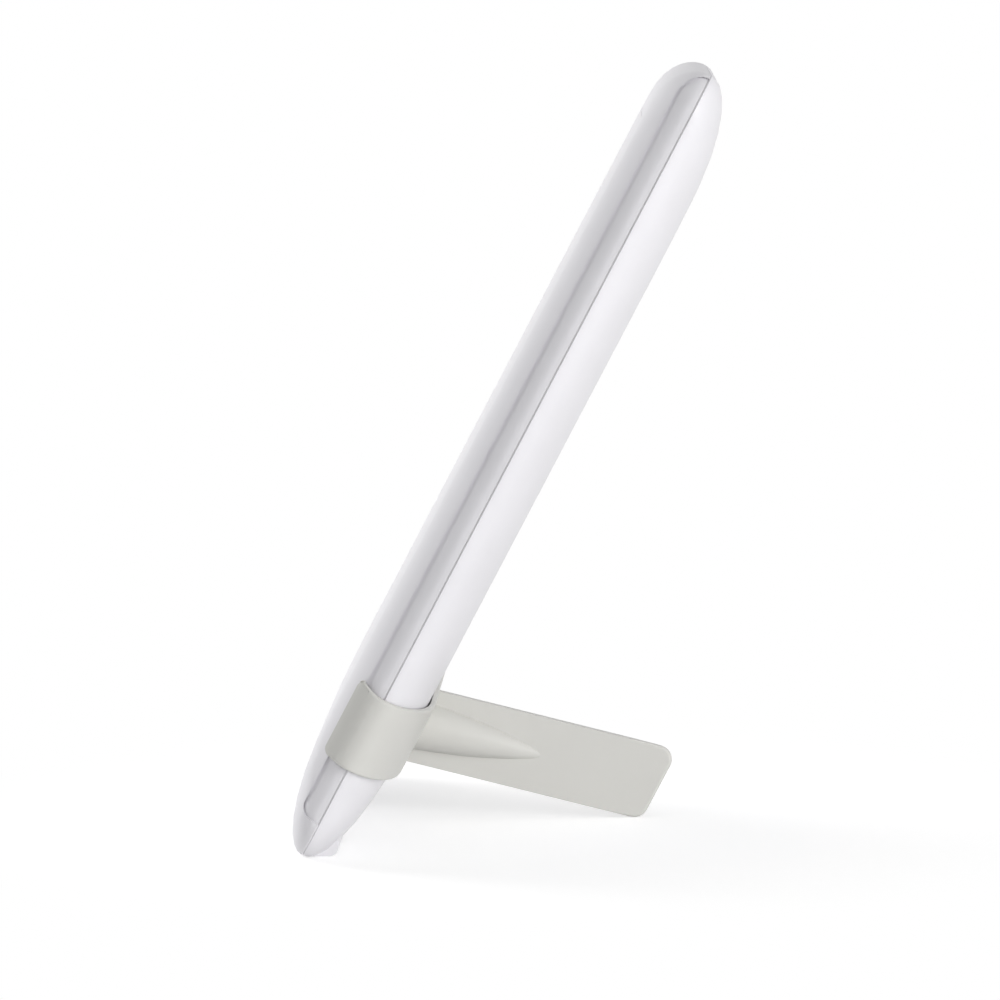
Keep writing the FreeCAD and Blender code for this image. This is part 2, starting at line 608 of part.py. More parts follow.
def make_jack():
    place = {"x": "sizes.jack_across", "z": "sizes.jack_up"}
    body = block("jack_block", Length="sizes.jack_body", Height="sizes.jack_body",
                 Width=f"{REAR_INNER} - {JACK_FRONT}", y=JACK_FRONT,
                 x="sizes.jack_across - sizes.jack_body / 2", z="sizes.jack_up - sizes.jack_body / 2")
    nose = peg("jack_nose_ring", Radius="sizes.jack_nose / 2", Height=f"{JACK_BACK} - {JACK_FRONT}",
               y=JACK_FRONT, **place)
    bore = peg("jack_bore_hole", Radius="sizes.jack_bore / 2", Height="sizes.rear_depth * 2",
               y=f"{JACK_FRONT} + sizes.jack_floor", **place)
    slot = block("jack_contact_slot", Length="sizes.contact_width",
                 Width=f"{REAR_INNER} - {JACK_FRONT} - 2 * sizes.jack_floor",
                 Height="sizes.contact_thickness + sizes.jack_bore / 2",
                 x="sizes.jack_across - sizes.contact_width / 2",
                 y=f"{JACK_FRONT} + sizes.jack_floor", z="sizes.jack_up")
    keep("power_inlet", cut("power_inlet", fuse("jack_shell", body, nose), bore, slot))
    pin = peg("jack_pin_post", Radius="sizes.jack_pin / 2", y=f"{JACK_FRONT} + sizes.jack_floor",
              Height=f"{JACK_BACK} - sizes.jack_pin_short - {JACK_FRONT} - sizes.jack_floor", **place)
    keep("inlet_pin", pin)
    leaf = block("inlet_contact", Length="sizes.contact_width - 0.1",
                 Width=f"{REAR_INNER} - {JACK_FRONT} - 2 * sizes.jack_floor - 0.1",
                 Height="sizes.contact_thickness",
                 x="sizes.jack_across - sizes.contact_width / 2 + 0.05",
                 y=f"{JACK_FRONT} + sizes.jack_floor", z="sizes.jack_up + sizes.jack_bore / 2")
    keep("inlet_contact", leaf)


# ---------------------------------------------------------------- rear shell

def make_foot(name, sign):
    """A foot moulded on the rear shell: its sole lies on the floor and its back stands upright."""
    lean = math.radians(size("lean_angle"))
    upright = at(-math.sin(lean), math.cos(lean))

    def floor(y):
        return at(y, (y * math.sin(lean) - size("floor_gap")) / math.cos(lean))

    toe, heel = floor(size("foot_front")), floor(size("foot_back"))
    top = heel + upright * size("foot_height")
    inside = at(size("foot_front") + size("shell_wall") / 2, top.z)
    wire = Part.makePolygon([toe, heel, top, inside, toe])
    width = size("foot_width")
    solid = Part.Face(wire).extrude(Vector(width, 0, 0))
    solid.translate(Vector(sign * (size("body_width") / 2 - size("foot_inset")) - width / 2, 0, 0))
    back = [edge for edge in solid.Edges
            if all(math.hypot(vertex.Y - heel.y, vertex.Z - heel.z) < 1e-6
                   for vertex in edge.Vertexes)]
    return feature(name, solid.makeFillet(size("foot_corner"), back))


def make_rear_shell():
    outer = rear_form("rear_outer")
    cavity = rear_form("rear_cavity", size("shell_wall"), plain=True)
    walls = cut("rear_walls", outer, cavity)
    limit = rear_form("rear_limit", size("shell_wall") / 2, plain=True)
    head_room = "(sizes.housing_head_diameter + 2 * sizes.screw_clearance)"
    posts = corner_pegs("rear_post", HOUSING_PLACES, "0", "sizes.rear_depth", "sizes.post_diameter")
    small = "sizes.board_post_diameter"
    stands = corner_pegs("board_post", BOARD_SCREW_PLACES, BOARD_BACK,
                         f"sizes.rear_depth - sizes.shell_wall / 2 - {BOARD_BACK}", small)
    feet_posts = corner_pegs("driver_post", DRIVER_PLACES, DRIVER_BACK,
                             f"sizes.rear_depth - sizes.shell_wall / 2 - {DRIVER_BACK}", small)
    inside = common("rear_posts", fuse("rear_post_set", *posts, *stands, *feet_posts), limit)
    solid = fuse("rear_solid", walls, inside, make_foot("foot_left", -1), make_foot("foot_right", 1))
    clear = "(sizes.housing_screw_diameter + 2 * sizes.screw_clearance)"
    bores = corner_pegs("rear_bore", HOUSING_PLACES, "-1", "sizes.rear_depth + 2", clear)
    seats = corner_pegs("rear_seat", HOUSING_PLACES, "sizes.post_seat", "sizes.rear_depth", head_room)
    pilot = "(sizes.small_screw_diameter + 2 * sizes.thread_clearance)"
    board_pilots = corner_pegs(
        "board_pilot", BOARD_SCREW_PLACES, f"{BOARD_BACK} - 1",
        f"1 + sizes.small_screw_length - sizes.board_thickness - sizes.tray_floor + 0.5", pilot)
    driver_pilots = corner_pegs(
        "driver_pilot", DRIVER_PLACES, f"{DRIVER_BACK} - 1",
        f"1 + sizes.driver_screw_length - sizes.board_thickness + 0.5", pilot)
    button_hole = peg("button_hole", Radius="sizes.button_diameter / 2 + sizes.button_clearance",
                      Height="sizes.rear_depth", x="sizes.button_across",
                      y=f"{REAR_INNER} - 1", z="sizes.button_up")
    jack_hole = peg("jack_hole", Radius="sizes.jack_nose / 2 + sizes.jack_fit",
                    Height="sizes.rear_depth", x="sizes.jack_across",
                    y=f"{REAR_INNER} - 1", z="sizes.jack_up")
    keep("rear_shell", cut("rear_shell", solid, *bores, *seats, *board_pilots, *driver_pilots,
                           button_hole, jack_hole))
    make_screws("housing_screws", HOUSING_PLACES, "sizes.post_seat", "housing_head_diameter",
                "housing_head_height", "housing_screw_diameter", "housing_screw_length", back=1)


# ---------------------------------------------------------------- stand

def rounding_arc(run, depth, gap, depth_gap, facing, degrees):
    """Part of a shell's side rounding, moved outwards by a gap, seen along the lamp."""
    centre = Vector(size("body_width") / 2 - run, 0, 0)
    wide, deep = run + gap, depth + depth_gap
    points = [centre + Vector(wide * math.cos(turn), facing * deep * math.sin(turn), 0)
              for turn in (math.radians(degrees), 0)]
    ellipse = Part.Ellipse(centre + Vector(wide, 0, 0), centre + Vector(0, deep, 0), centre)
    first, last = (-math.radians(degrees), 0) if facing < 0 else (0, math.radians(degrees))
    return Part.ArcOfEllipse(ellipse, first, last).toShape(), points


def band_half():
    """Right half of the band's section: lip, clip and back, as one closed face."""
    gap, back_gap, wall = size("stand_gap"), size("stand_back_gap"), size("stand_wall")
    wrap = size("clip_wrap")
    front = (size("front_round_side"), size("front_depth"))
    rear = (size("rear_round"), size("rear_depth"))
    inner_front, inner_lip = rounding_arc(*front, gap, gap, -1, wrap)
    outer_front, outer_lip = rounding_arc(*front, gap + wall, gap + wall, -1, wrap)
    inner_rear, inner_back = rounding_arc(*rear, gap, back_gap, 1, 90)
    outer_rear, outer_back = rounding_arc(*rear, gap + wall, back_gap + wall, 1, 90)
    inner_end, outer_end = inner_back[0], outer_back[0]
    edges = [inner_front, outer_front, inner_rear, outer_rear, line(inner_lip[0], outer_lip[0]),
             line(inner_end, Vector(0, inner_end.y, 0)), line(outer_end, Vector(0, outer_end.y, 0)),
             line(Vector(0, inner_end.y, 0), Vector(0, outer_end.y, 0))]
    return Part.Face(Part.Wire(Part.__sortEdges__(edges))), outer_lip[0].y


def clip_side_view(lip):
    """Side view of the band: level rims that rise towards the lips, with round corners."""
    low, high = size("stand_bottom"), size("stand_bottom") + size("stand_height")
    back = size("rear_depth") + size("stand_back_gap") + size("stand_wall") + 1
    rims = []
    for level, rise in ((low, size("clip_rise_bottom")), (high, size("clip_rise_top"))):
        radius = (lip * lip + rise * rise) / (2 * rise)
        middle = at(lip / 2, level + radius - math.sqrt(radius * radius - lip * lip / 4))
        rims.append(arc(at(0, level), middle, at(lip, level + rise)))
    lip_low, lip_high = (at(lip, low + size("clip_rise_bottom")), at(lip, high + size("clip_rise_top")))
    edges = [*rims, line(lip_low, lip_high), line(at(0, low), at(back, low)),
             line(at(back, low), at(back, high)), line(at(back, high), at(0, high))]
    reach = size("body_width") / 2 + size("stand_gap") + size("stand_wall") + 1
    solid = Part.Face(Part.Wire(Part.__sortEdges__(edges))).extrude(Vector(2 * reach, 0, 0))
    solid.translate(Vector(-reach, 0, 0))
    for corner, alias in ((lip_low, "clip_corner_bottom"), (lip_high, "clip_corner_top")):
        edges = [edge for edge in solid.Edges
                 if all(math.hypot(vertex.Y - corner.y, vertex.Z - corner.z) < 1e-6
                        for vertex in edge.Vertexes)]
        solid = solid.makeFillet(size(alias), edges)
    return solid


def fin_outline():
    """Side view of the fin: its lower outer corner stands on the floor."""
    lean, rise = math.radians(size("lean_angle")), math.radians(size("fin_rise"))
    turn, reach = size("fin_corner"), size("fin_reach")
    root = size("rear_depth") + size("stand_back_gap")
    centre = at(reach - turn, (turn - size("floor_gap") + (reach - turn) * math.sin(lean))
                / math.cos(lean))

    def bottom(y):
        return centre.z - turn / math.cos(rise) + (y - centre.y) * math.tan(rise)

    tall = size("fin_height")
    return Part.makePolygon([at(root, bottom(root)), at(reach, bottom(reach)),
                             at(reach, bottom(reach) + tall), at(root, bottom(root) + tall),
                             at(root, bottom(root))]), bottom


SPINE_STEPS = 6  # short cones that make up the spine's bulged side


def make_stand():
    low, high = size("stand_bottom"), size("stand_bottom") + size("stand_height")
    margin = size("clip_rise_top") + 1
    section, lip = band_half()
    section.translate(Vector(0, 0, low - margin))
    half = section.extrude(Vector(0, 0, high - low + 2 * margin))
    band = feature("band_walls", half.fuse(half.mirror(Vector(), Vector(1, 0, 0))).removeSplitter())
    rims = feature("band_side_view", clip_side_view(lip))
    trimmed = common("stand_band", band, rims)

    outline, bottom = fin_outline()
    thick, reach = size("fin_thickness"), size("fin_reach")
    plate = Part.Face(outline).extrude(Vector(thick, 0, 0))
    plate.translate(Vector(-thick / 2, 0, 0))
    ends = [edge for edge in plate.Edges
            if all(abs(vertex.Y - reach) < 1e-6 for vertex in edge.Vertexes)
            and abs(edge.Vertexes[0].X - edge.Vertexes[-1].X) > thick / 2]
    fin = feature("stand_fin", plate.makeFillet(size("fin_corner"), ends))

    root = size("rear_depth") + size("stand_back_gap") + size("stand_wall") / 2
    rise = math.radians(size("fin_rise"))
    start = at(root, bottom(root) + size("fin_height") / 2)
    along, aside = at(math.cos(rise), math.sin(rise)), Vector(1, 0, 0)
    far, wide = size("spine_length") + size("stand_wall") / 2, size("spine_radius")
    profile = [start]
    for step in range(SPINE_STEPS + 1):
        share = step / SPINE_STEPS
        bulge = 4 * size("spine_bulge") * share * (1 - share)
        profile.append(start + along * (far * share) + aside * (wide * (1 - share) + bulge))
    cone = Part.Face(Part.makePolygon(profile + [start])).revolve(start, along, 360)
    behind = Part.makeBox(4 * wide, 4 * far, 8 * wide, Vector(-2 * wide, root, start.z - 4 * wide))
    spine = feature("stand_spine", cone.common(behind))

    ribs = []
    begin, wide = size("rear_depth") + size("rib_gap"), size("rib_width")
    for sign in (-1, 1):
        place = sign * (size("body_width") / 2 - size("rib_inset"))
        rib = Part.makeBox(wide, root - begin, high - low - 2,
                           Vector(place - wide / 2, begin, low + 1))
        ribs.append(feature(f"rib_{len(ribs) + 1}", rib))
    keep("stand", fuse("stand", trimmed, fin, spine, *ribs))


# ---------------------------------------------------------------- assembly

def stand_up():
    """Lean every sub-part back and set the whole on the floor, centred on the origin."""
    turn = Rotation(Vector(1, 0, 0), -size("lean_angle"))
    lowest = highest = None
    for piece in parts.values():
        leaned = piece.Shape.copy()
        leaned.Placement = Placement(Vector(), turn).multiply(leaned.Placement)
        box = leaned.optimalBoundingBox(True, False)
        lowest = box.YMin if lowest is None else min(lowest, box.YMin)
        highest = box.YMax if highest is None else max(highest, box.YMax)
    place = Placement(Vector(0, -(lowest + highest) / 2, size("floor_gap")), turn)
    for piece in parts.values():
        piece.Placement = place.multiply(piece.Placement)
    doc.recompute()
    return place


def check_document():
    for thing in doc.Objects:
        faults = [state for state in thing.State if state in ("Invalid", "Error")]
        if faults:
            raise RuntimeError(f"{thing.Name} is {', '.join(faults)}")
    for label, piece in parts.items():
        if piece.Shape.isNull() or not piece.Shape.isValid():
            raise RuntimeError(f"{label} has no valid shape")


make_front_frame()
make_diffuser()
make_light_engine()
make_driver()
make_button()
make_jack()
make_rear_shell()
make_stand()
doc.recompute()
check_document()
placed = stand_up()
check_document()
os.makedirs("parts", exist_ok=True)
for label, piece in parts.items():
    piece.Shape.exportStep(f"parts/{label}.step")
print("lamp axes placed at", placed)
print(len(parts), "sub-parts")
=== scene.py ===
"""Finishes for a slim tablet light therapy lamp that leans back on a clip-on stand."""

import json
import math

import bmesh
import bpy
from mathutils import Matrix, Vector

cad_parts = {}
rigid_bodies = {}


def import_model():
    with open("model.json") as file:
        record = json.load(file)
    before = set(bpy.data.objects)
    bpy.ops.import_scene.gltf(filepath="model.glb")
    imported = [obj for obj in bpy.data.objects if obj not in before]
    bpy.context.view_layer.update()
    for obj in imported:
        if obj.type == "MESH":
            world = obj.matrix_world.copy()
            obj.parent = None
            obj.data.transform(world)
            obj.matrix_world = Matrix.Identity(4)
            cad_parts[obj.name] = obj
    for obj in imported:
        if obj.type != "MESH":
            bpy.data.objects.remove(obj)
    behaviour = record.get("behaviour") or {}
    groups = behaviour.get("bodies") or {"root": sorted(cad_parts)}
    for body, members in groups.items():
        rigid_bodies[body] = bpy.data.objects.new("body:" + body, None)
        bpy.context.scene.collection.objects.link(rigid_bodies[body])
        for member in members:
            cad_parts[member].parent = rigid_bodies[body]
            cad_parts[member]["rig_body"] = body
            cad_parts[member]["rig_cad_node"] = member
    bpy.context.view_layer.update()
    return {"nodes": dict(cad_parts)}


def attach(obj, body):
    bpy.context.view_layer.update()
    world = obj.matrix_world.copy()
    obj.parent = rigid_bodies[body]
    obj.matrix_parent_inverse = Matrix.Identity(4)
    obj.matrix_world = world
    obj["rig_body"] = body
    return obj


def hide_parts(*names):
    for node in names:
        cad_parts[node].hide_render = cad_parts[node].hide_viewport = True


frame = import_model()
NODES = frame["nodes"]

MM = 0.001
HAIR = 0.01 * MM            # two places closer than this are one place
WELD = 0.004 * MM           # CAD corners closer than this are one corner
FLAT_ANGLE = 0.6            # degrees: CAD triangles that turn less than this are one face
SMOOTH_ANGLE = 32           # degrees: edges that turn more than this stay sharp
FACE_WEIGHT = 80            # how much large faces pull the shading normals towards their own


# ---------------------------------------------------------------- the lamp's own axes

# The lamp leans back by LEAN in the row frame.
LEAN = math.radians(27.7)
BACK = Vector((0.0, math.cos(LEAN), -math.sin(LEAN)))   # out of the rear face
ALONG = Vector((0.0, math.sin(LEAN), math.cos(LEAN)))   # up the lamp from its bottom end


def far_point(node, direction):
    """The point of a CAD node that lies furthest along a direction."""
    return max((vertex.co for vertex in NODES[node].data.vertices),
               key=lambda point: point.dot(direction)).copy()


# The front frame's rear rim lies on the plane where the shells part.
PARTING = far_point("front_frame", BACK)
LOW_END = far_point("front_frame", -ALONG)


def behind(point):
    """Distance of a point behind the parting plane."""
    return (point - PARTING).dot(BACK)


def upward(point):
    """Distance of a point along the lamp, from the level of the shells' bottom end."""
    return (point - LOW_END).dot(ALONG)


SHELL_HALF = far_point("front_frame", Vector((1, 0, 0))).x
SHELL_LENGTH = upward(far_point("front_frame", ALONG))
FRONT_FACE = behind(far_point("front_frame", -BACK))
REAR_FACE = behind(far_point("rear_shell", BACK))
CORNER = 13 * MM            # radius of the shells' corners, seen from the front


def inset_from_outline(point):
    """How far inside the lamp's rounded outline a point lies, seen from the front."""
    across = abs(point.x) - (SHELL_HALF - CORNER)
    along = abs(upward(point) - SHELL_LENGTH / 2) - (SHELL_LENGTH / 2 - CORNER)
    return CORNER - math.hypot(max(across, 0.0), max(along, 0.0)) - min(max(across, along), 0.0)


# ---------------------------------------------------------------- modelling helpers

def deselect():
    bpy.ops.object.select_all(action="DESELECT")


def pick(piece):
    """Make one object the only selected and active one."""
    deselect()
    piece.select_set(True)
    bpy.context.view_layer.objects.active = piece


def finished_copy(node, name):
    """A copy of a CAD node with its loose triangles merged into clean faces."""
    piece = NODES[node].copy()
    piece.data = NODES[node].data.copy()
    piece.name = piece.data.name = name
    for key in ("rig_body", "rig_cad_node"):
        if key in piece:
            del piece[key]
    piece.parent = None
    piece.matrix_world = Matrix.Identity(4)
    bpy.context.scene.collection.objects.link(piece)
    pick(piece)
    bpy.ops.object.mode_set(mode="EDIT")
    bpy.ops.mesh.select_all(action="SELECT")
    bpy.ops.mesh.customdata_custom_splitnormals_clear()
    bpy.ops.mesh.remove_doubles(threshold=WELD)
    bpy.ops.mesh.dissolve_limited(angle_limit=math.radians(FLAT_ANGLE))
    bpy.ops.object.mode_set(mode="OBJECT")
    return piece


ROUNDED = 0.5               # bevel profile of a plain rounding
HOLLOWED = 0.2              # bevel profile that hollows an edge out, which leaves a shadow gap


def bevel_edges(piece, chosen, width, segments=2, sharpness=25, profile=ROUNDED, clamp=True):
    """Bevel the edges that turn more than sharpness degrees and that chosen picks.

    chosen is a test on the places of an edge's two ends and the normals of its two faces.
    """
    pick(piece)
    bpy.ops.object.mode_set(mode="EDIT")
    bpy.ops.mesh.select_mode(type="EDGE")
    bpy.ops.mesh.select_all(action="DESELECT")
    bpy.ops.mesh.edges_select_sharp(sharpness=math.radians(sharpness))
    mesh = bmesh.from_edit_mesh(piece.data)
    for edge in [edge for edge in mesh.edges if edge.select]:
        ends = [vertex.co for vertex in edge.verts]
        if not chosen(ends, [face.normal for face in edge.link_faces]):
            edge.select_set(False)
    bmesh.update_edit_mesh(piece.data)
    bpy.ops.mesh.bevel(offset_type="OFFSET", offset=width, segments=segments, affect="EDGES",
                       profile=profile, clamp_overlap=clamp)
    bpy.ops.object.mode_set(mode="OBJECT")


def collapse_short_edges(piece, length):
    """Merge the ends of edges too short to bevel beside."""
    pick(piece)
    bpy.ops.object.mode_set(mode="EDIT")
    bpy.ops.mesh.select_all(action="SELECT")
    bpy.ops.mesh.dissolve_degenerate(threshold=length)
    bpy.ops.object.mode_set(mode="OBJECT")


def bring_forward(piece, level, distance):
    """Move the face that lies level behind the parting plane forward by a distance."""
    pick(piece)
    bpy.ops.object.mode_set(mode="EDIT")
    bpy.ops.mesh.select_mode(type="VERT")
    bpy.ops.mesh.select_all(action="DESELECT")
    mesh = bmesh.from_edit_mesh(piece.data)
    for vertex in mesh.verts:
        vertex.select_set(abs(behind(vertex.co) - level) < HAIR)
    bmesh.update_edit_mesh(piece.data)
    bpy.ops.transform.translate(value=-BACK * distance)
    bpy.ops.object.mode_set(mode="OBJECT")


def smooth(piece):
    """Shade a piece smooth between its sharp edges, with its flat faces left flat."""
    pick(piece)
    bpy.ops.object.shade_smooth_by_angle(angle=math.radians(SMOOTH_ANGLE))
    weighted = piece.modifiers.new("weighted", "WEIGHTED_NORMAL")
    weighted.keep_sharp = True
    weighted.weight = FACE_WEIGHT
    bpy.ops.object.modifier_apply(modifier=weighted.name)


# ---------------------------------------------------------------- material helpers

def new_group(name, inputs, outputs):
    """An empty node group: sockets are (name, type, default or None)."""
    group = bpy.data.node_groups.new(name, "ShaderNodeTree")
    for in_out, sockets in (("INPUT", inputs), ("OUTPUT", outputs)):
        for label, kind, default in sockets:
            socket = group.interface.new_socket(label, in_out=in_out, socket_type=kind)
            if default is not None and in_out == "INPUT":
                socket.default_value = default
    return group, group.nodes.new("NodeGroupInput"), group.nodes.new("NodeGroupOutput")


def maths(tree, operation, *values):
    """The result of a Math node, whose values are numbers or other nodes' sockets."""
    node = tree.nodes.new("ShaderNodeMath")
    node.operation = operation
    for socket, value in zip(node.inputs, values):
        if isinstance(value, bpy.types.NodeSocket):
            tree.links.new(value, socket)
        else:
            socket.default_value = value
    return node.outputs[0]


def noise(tree, place, scale, detail):
    """The value of a Noise Texture node; place and scale are sockets."""
    node = tree.nodes.new("ShaderNodeTexNoise")
    node.inputs["Detail"].default_value = detail
    tree.links.new(place, node.inputs["Vector"])
    tree.links.new(scale, node.inputs["Scale"])
    return node.outputs["Fac"]


def moulded_surface():
    """Fine texture of a moulded part: slight waviness, spark grain and uneven gloss and tint."""
    group, into, out = new_group(
        "moulded surface",
        [("Vector", "NodeSocketVector", None), ("Colour", "NodeSocketColor", (1, 1, 1, 1)),
         ("Grain size", "NodeSocketFloat", 900.0), ("Wave size", "NodeSocketFloat", 35.0),
         ("Roughness", "NodeSocketFloat", 0.3), ("Roughness spread", "NodeSocketFloat", 0.05)],
        [("Colour", "NodeSocketColor", None), ("Roughness", "NodeSocketFloat", None),
         ("Grain", "NodeSocketFloat", None), ("Wave", "NodeSocketFloat", None)])
    add, link = group.nodes.new, group.links.new
    grain = noise(group, into.outputs["Vector"], into.outputs["Grain size"], detail=3.0)
    wave = noise(group, into.outputs["Vector"], into.outputs["Wave size"], detail=2.0)
    rough = maths(group, "MULTIPLY_ADD", maths(group, "SUBTRACT", wave, 0.5),
                  into.outputs["Roughness spread"], into.outputs["Roughness"])
    tint = add("ShaderNodeMapRange")
    for label, value in (("From Min", 0.3), ("From Max", 0.7),
                         ("To Min", 0.985), ("To Max", 1.01)):
        tint.inputs[label].default_value = value
    link(wave, tint.inputs["Value"])
    shade = add("ShaderNodeVectorMath")
    shade.operation = "SCALE"
    link(into.outputs["Colour"], shade.inputs[0])
    link(tint.outputs["Result"], shade.inputs["Scale"])
    link(shade.outputs[0], out.inputs["Colour"])
    link(rough, out.inputs["Roughness"])
    link(grain, out.inputs["Grain"])
    link(wave, out.inputs["Wave"])
    return group


SURFACE = moulded_surface()


def moulded(name, colour, roughness, grain_size=900.0, wave_size=35.0, grain=0.02, wave=0.05,
            metallic=0.0, subsurface=0.0):
    """A material on the shared moulded surface; grain and wave are bump distances in mm."""
    material = bpy.data.materials.new(name)
    material.use_nodes = True
    nodes, link = material.node_tree.nodes, material.node_tree.links.new
    shader = nodes["Principled BSDF"]
    place = nodes.new("ShaderNodeTexCoord")
    surface = nodes.new("ShaderNodeGroup")
    surface.node_tree = SURFACE
    for label, value in (("Colour", (*colour, 1.0)), ("Roughness", roughness),
                         ("Grain size", grain_size), ("Wave size", wave_size)):
        surface.inputs[label].default_value = value
    link(place.outputs["Object"], surface.inputs["Vector"])
    link(surface.outputs["Colour"], shader.inputs["Base Color"])
    link(surface.outputs["Roughness"], shader.inputs["Roughness"])
    waves = nodes.new("ShaderNodeBump")
    waves.inputs["Distance"].default_value = wave * MM
    link(surface.outputs["Wave"], waves.inputs["Height"])
    grains = nodes.new("ShaderNodeBump")
    grains.inputs["Distance"].default_value = grain * MM
    link(surface.outputs["Grain"], grains.inputs["Height"])
    link(waves.outputs["Normal"], grains.inputs["Normal"])
    link(grains.outputs["Normal"], shader.inputs["Normal"])
    shader.inputs["Metallic"].default_value = metallic
    if subsurface:
        shader.inputs["Subsurface Weight"].default_value = subsurface
        shader.inputs["Subsurface Radius"].default_value = (1.0, 0.95, 0.9)
        shader.inputs["Subsurface Scale"].default_value = 1.5 * MM
    return material


def dress(piece, material):
    """Give a piece one material."""
    piece.data.materials.clear()
    piece.data.materials.append(material)


MATERIALS = {
    "shell": moulded("satin white shell", (0.80, 0.79, 0.815), 0.42, grain=0.004,
                     wave=0.02, wave_size=60.0),
    "stand": moulded("satin grey stand", (0.64, 0.635, 0.602), 0.45, grain=0.012,
                     grain_size=1400.0),
    "button": moulded("satin white button", (0.76, 0.76, 0.78), 0.36, grain=0.01),
    "diffuser": moulded("opal diffuser", (0.80, 0.79, 0.81), 0.5, grain=0.015, subsurface=0.3),
    "film": moulded("diffusing film", (0.85, 0.85, 0.85), 0.5),
    "tray": moulded("white reflector", (0.82, 0.82, 0.81), 0.55),
    "board": moulded("white solder mask", (0.72, 0.75, 0.72), 0.4),
    "lens": moulded("yellow phosphor", (0.85, 0.62, 0.10), 0.3),
    "circuit": moulded("green solder mask", (0.01, 0.09, 0.02), 0.35),
    "black": moulded("black moulding", (0.012, 0.012, 0.013), 0.38, grain=0.02),
    "plunger": moulded("red plunger", (0.30, 0.02, 0.01), 0.4),
    "ferrite": moulded("dull ferrite", (0.02, 0.02, 0.022), 0.7),
    "cans": moulded("aluminium can", (0.70, 0.71, 0.72), 0.35, metallic=1.0),
    "steel": moulded("zinc plated steel", (0.58, 0.58, 0.60), 0.32, metallic=1.0),
    "contact": moulded("nickel plated contact", (0.68, 0.63, 0.50), 0.25, metallic=1.0),
}

FINISHES = {
    "board_header": "black", "board_screws": "steel", "controller_chip": "black",
    "diffuser_film": "film", "diffuser_panel": "diffuser", "driver_board": "circuit",
    "driver_coil": "ferrite", "driver_screws": "steel", "filter_capacitors": "cans",
    "front_frame": "shell", "housing_screws": "steel", "inlet_contact": "contact",
    "inlet_pin": "contact", "led_board": "board", "led_chips": "lens", "power_button": "button",
    "power_inlet": "black", "rear_shell": "shell", "reflector_tray": "tray", "stand": "stand",
    "switch_housing": "black", "switch_plunger": "plunger",
}

for node, finish in FINISHES.items():
    dress(NODES[node], MATERIALS[finish])


# ---------------------------------------------------------------- the shells

# Where the bevelled edges lie. A level is a distance behind the parting plane.
SEAM_INSET = 0.8 * MM       # the seam lies less than this inside the outline
SCOOP_REACH = 15.5 * MM     # the scoops' steps lie less than this in from the flank
SCOOP_INSET = 7 * MM        # and less than this inside the outline,
SCOOP_FRONT = -6.3 * MM     # behind this level
SCOOP_REAR = -0.25 * MM     # and in front of this one
FOOT_TOP = 10.5 * MM        # the feet lie below this height
FOOT_START = 3.2 * MM       # and behind this level
SIDEWAYS = 0.98             # x part of the normal of a face that looks to the side


def on_seam(ends, normals):
    """The shells' outline on the parting plane, not one of their inner walls or posts."""
    level = all(abs(behind(end)) < HAIR for end in ends)
    return level and inset_from_outline((ends[0] + ends[1]) / 2) < SEAM_INSET


def on_scoop(ends, normals):
    """The step round the hollow on each flank of the front frame."""
    return all(abs(end.x) > SHELL_HALF - SCOOP_REACH
               and SCOOP_FRONT < behind(end) < SCOOP_REAR
               and inset_from_outline(end) < SCOOP_INSET for end in ends)


def on_front_window(ends, normals):
    return all(abs(behind(end) - FRONT_FACE) < HAIR for end in ends)


def on_rear_opening(ends, normals):
    return all(abs(behind(end) - REAR_FACE) < HAIR for end in ends)


def on_foot(ends, normals):
    """The outline of the flanks of the feet, low down at the back."""
    low = all(-HAIR < end.z < FOOT_TOP and behind(end) > FOOT_START for end in ends)
    return low and any(abs(normal.x) > SIDEWAYS for normal in normals)


def shell_copy(node, roundings):
    """Replace a shell by a copy with bevelled edges: (chosen, width, segments, profile)."""
    piece = finished_copy(node, f"{node}_moulding")
    for chosen, width, segments, profile in roundings:
        bevel_edges(piece, chosen, width, segments, profile=profile)
    smooth(piece)
    dress(piece, MATERIALS["shell"])
    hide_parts(node)
    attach(piece, "lamp")


SEAM = (on_seam, 0.33 * MM, 3, HOLLOWED)
shell_copy("front_frame", [(on_scoop, 0.42 * MM, 3, ROUNDED), SEAM,
                           (on_front_window, 0.2 * MM, 2, ROUNDED)])
shell_copy("rear_shell", [SEAM, (on_rear_opening, 0.2 * MM, 2, ROUNDED),
                          (on_foot, 0.6 * MM, 3, ROUNDED)])

# The window's face comes up almost level with the frame round it.
WINDOW_RECESS = 0.04 * MM
PANEL_FACE = behind(far_point("diffuser_panel", -BACK))
window = finished_copy("diffuser_panel", "diffuser_window")
bring_forward(window, PANEL_FACE, PANEL_FACE - FRONT_FACE - WINDOW_RECESS)
smooth(window)
dress(window, MATERIALS["diffuser"])
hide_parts("diffuser_panel")
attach(window, "lamp")


# ---------------------------------------------------------------- the stand

STAND_PLACES = [vertex.co for vertex in NODES["stand"].data.vertices]
# Away from the middle, where the fin stands, the band's back is all there is of the stand.
BAND_BACK = max(behind(place) for place in STAND_PLACES if abs(place.x) > SHELL_HALF / 2)
# Beside the lamp the stand is only its band, whose two rims are straight there.
BAND_LEVELS = [upward(place) for place in STAND_PLACES if 1 * MM < behind(place) < 10 * MM]
BAND_LOW, BAND_HIGH = min(BAND_LEVELS), max(BAND_LEVELS)
RIM_PLAY = 0.1 * MM         # the rims' edges lie within this of the two rims
LIP_START = -0.05 * MM      # the lips lie in front of this level
LIP_END = -5.8 * MM         # and their ends in front of this one
LIP_TOP = 3 * MM            # the lips' upper corners lie within this of the upper rim
FIN_START = 0.2 * MM        # the fin's outline lies further than this behind the band
STAND_SHARP = 50            # degrees: the stand's bevelled edges turn more than this
SHORT = 0.2 * MM            # edges shorter than this leave no room for a bevel


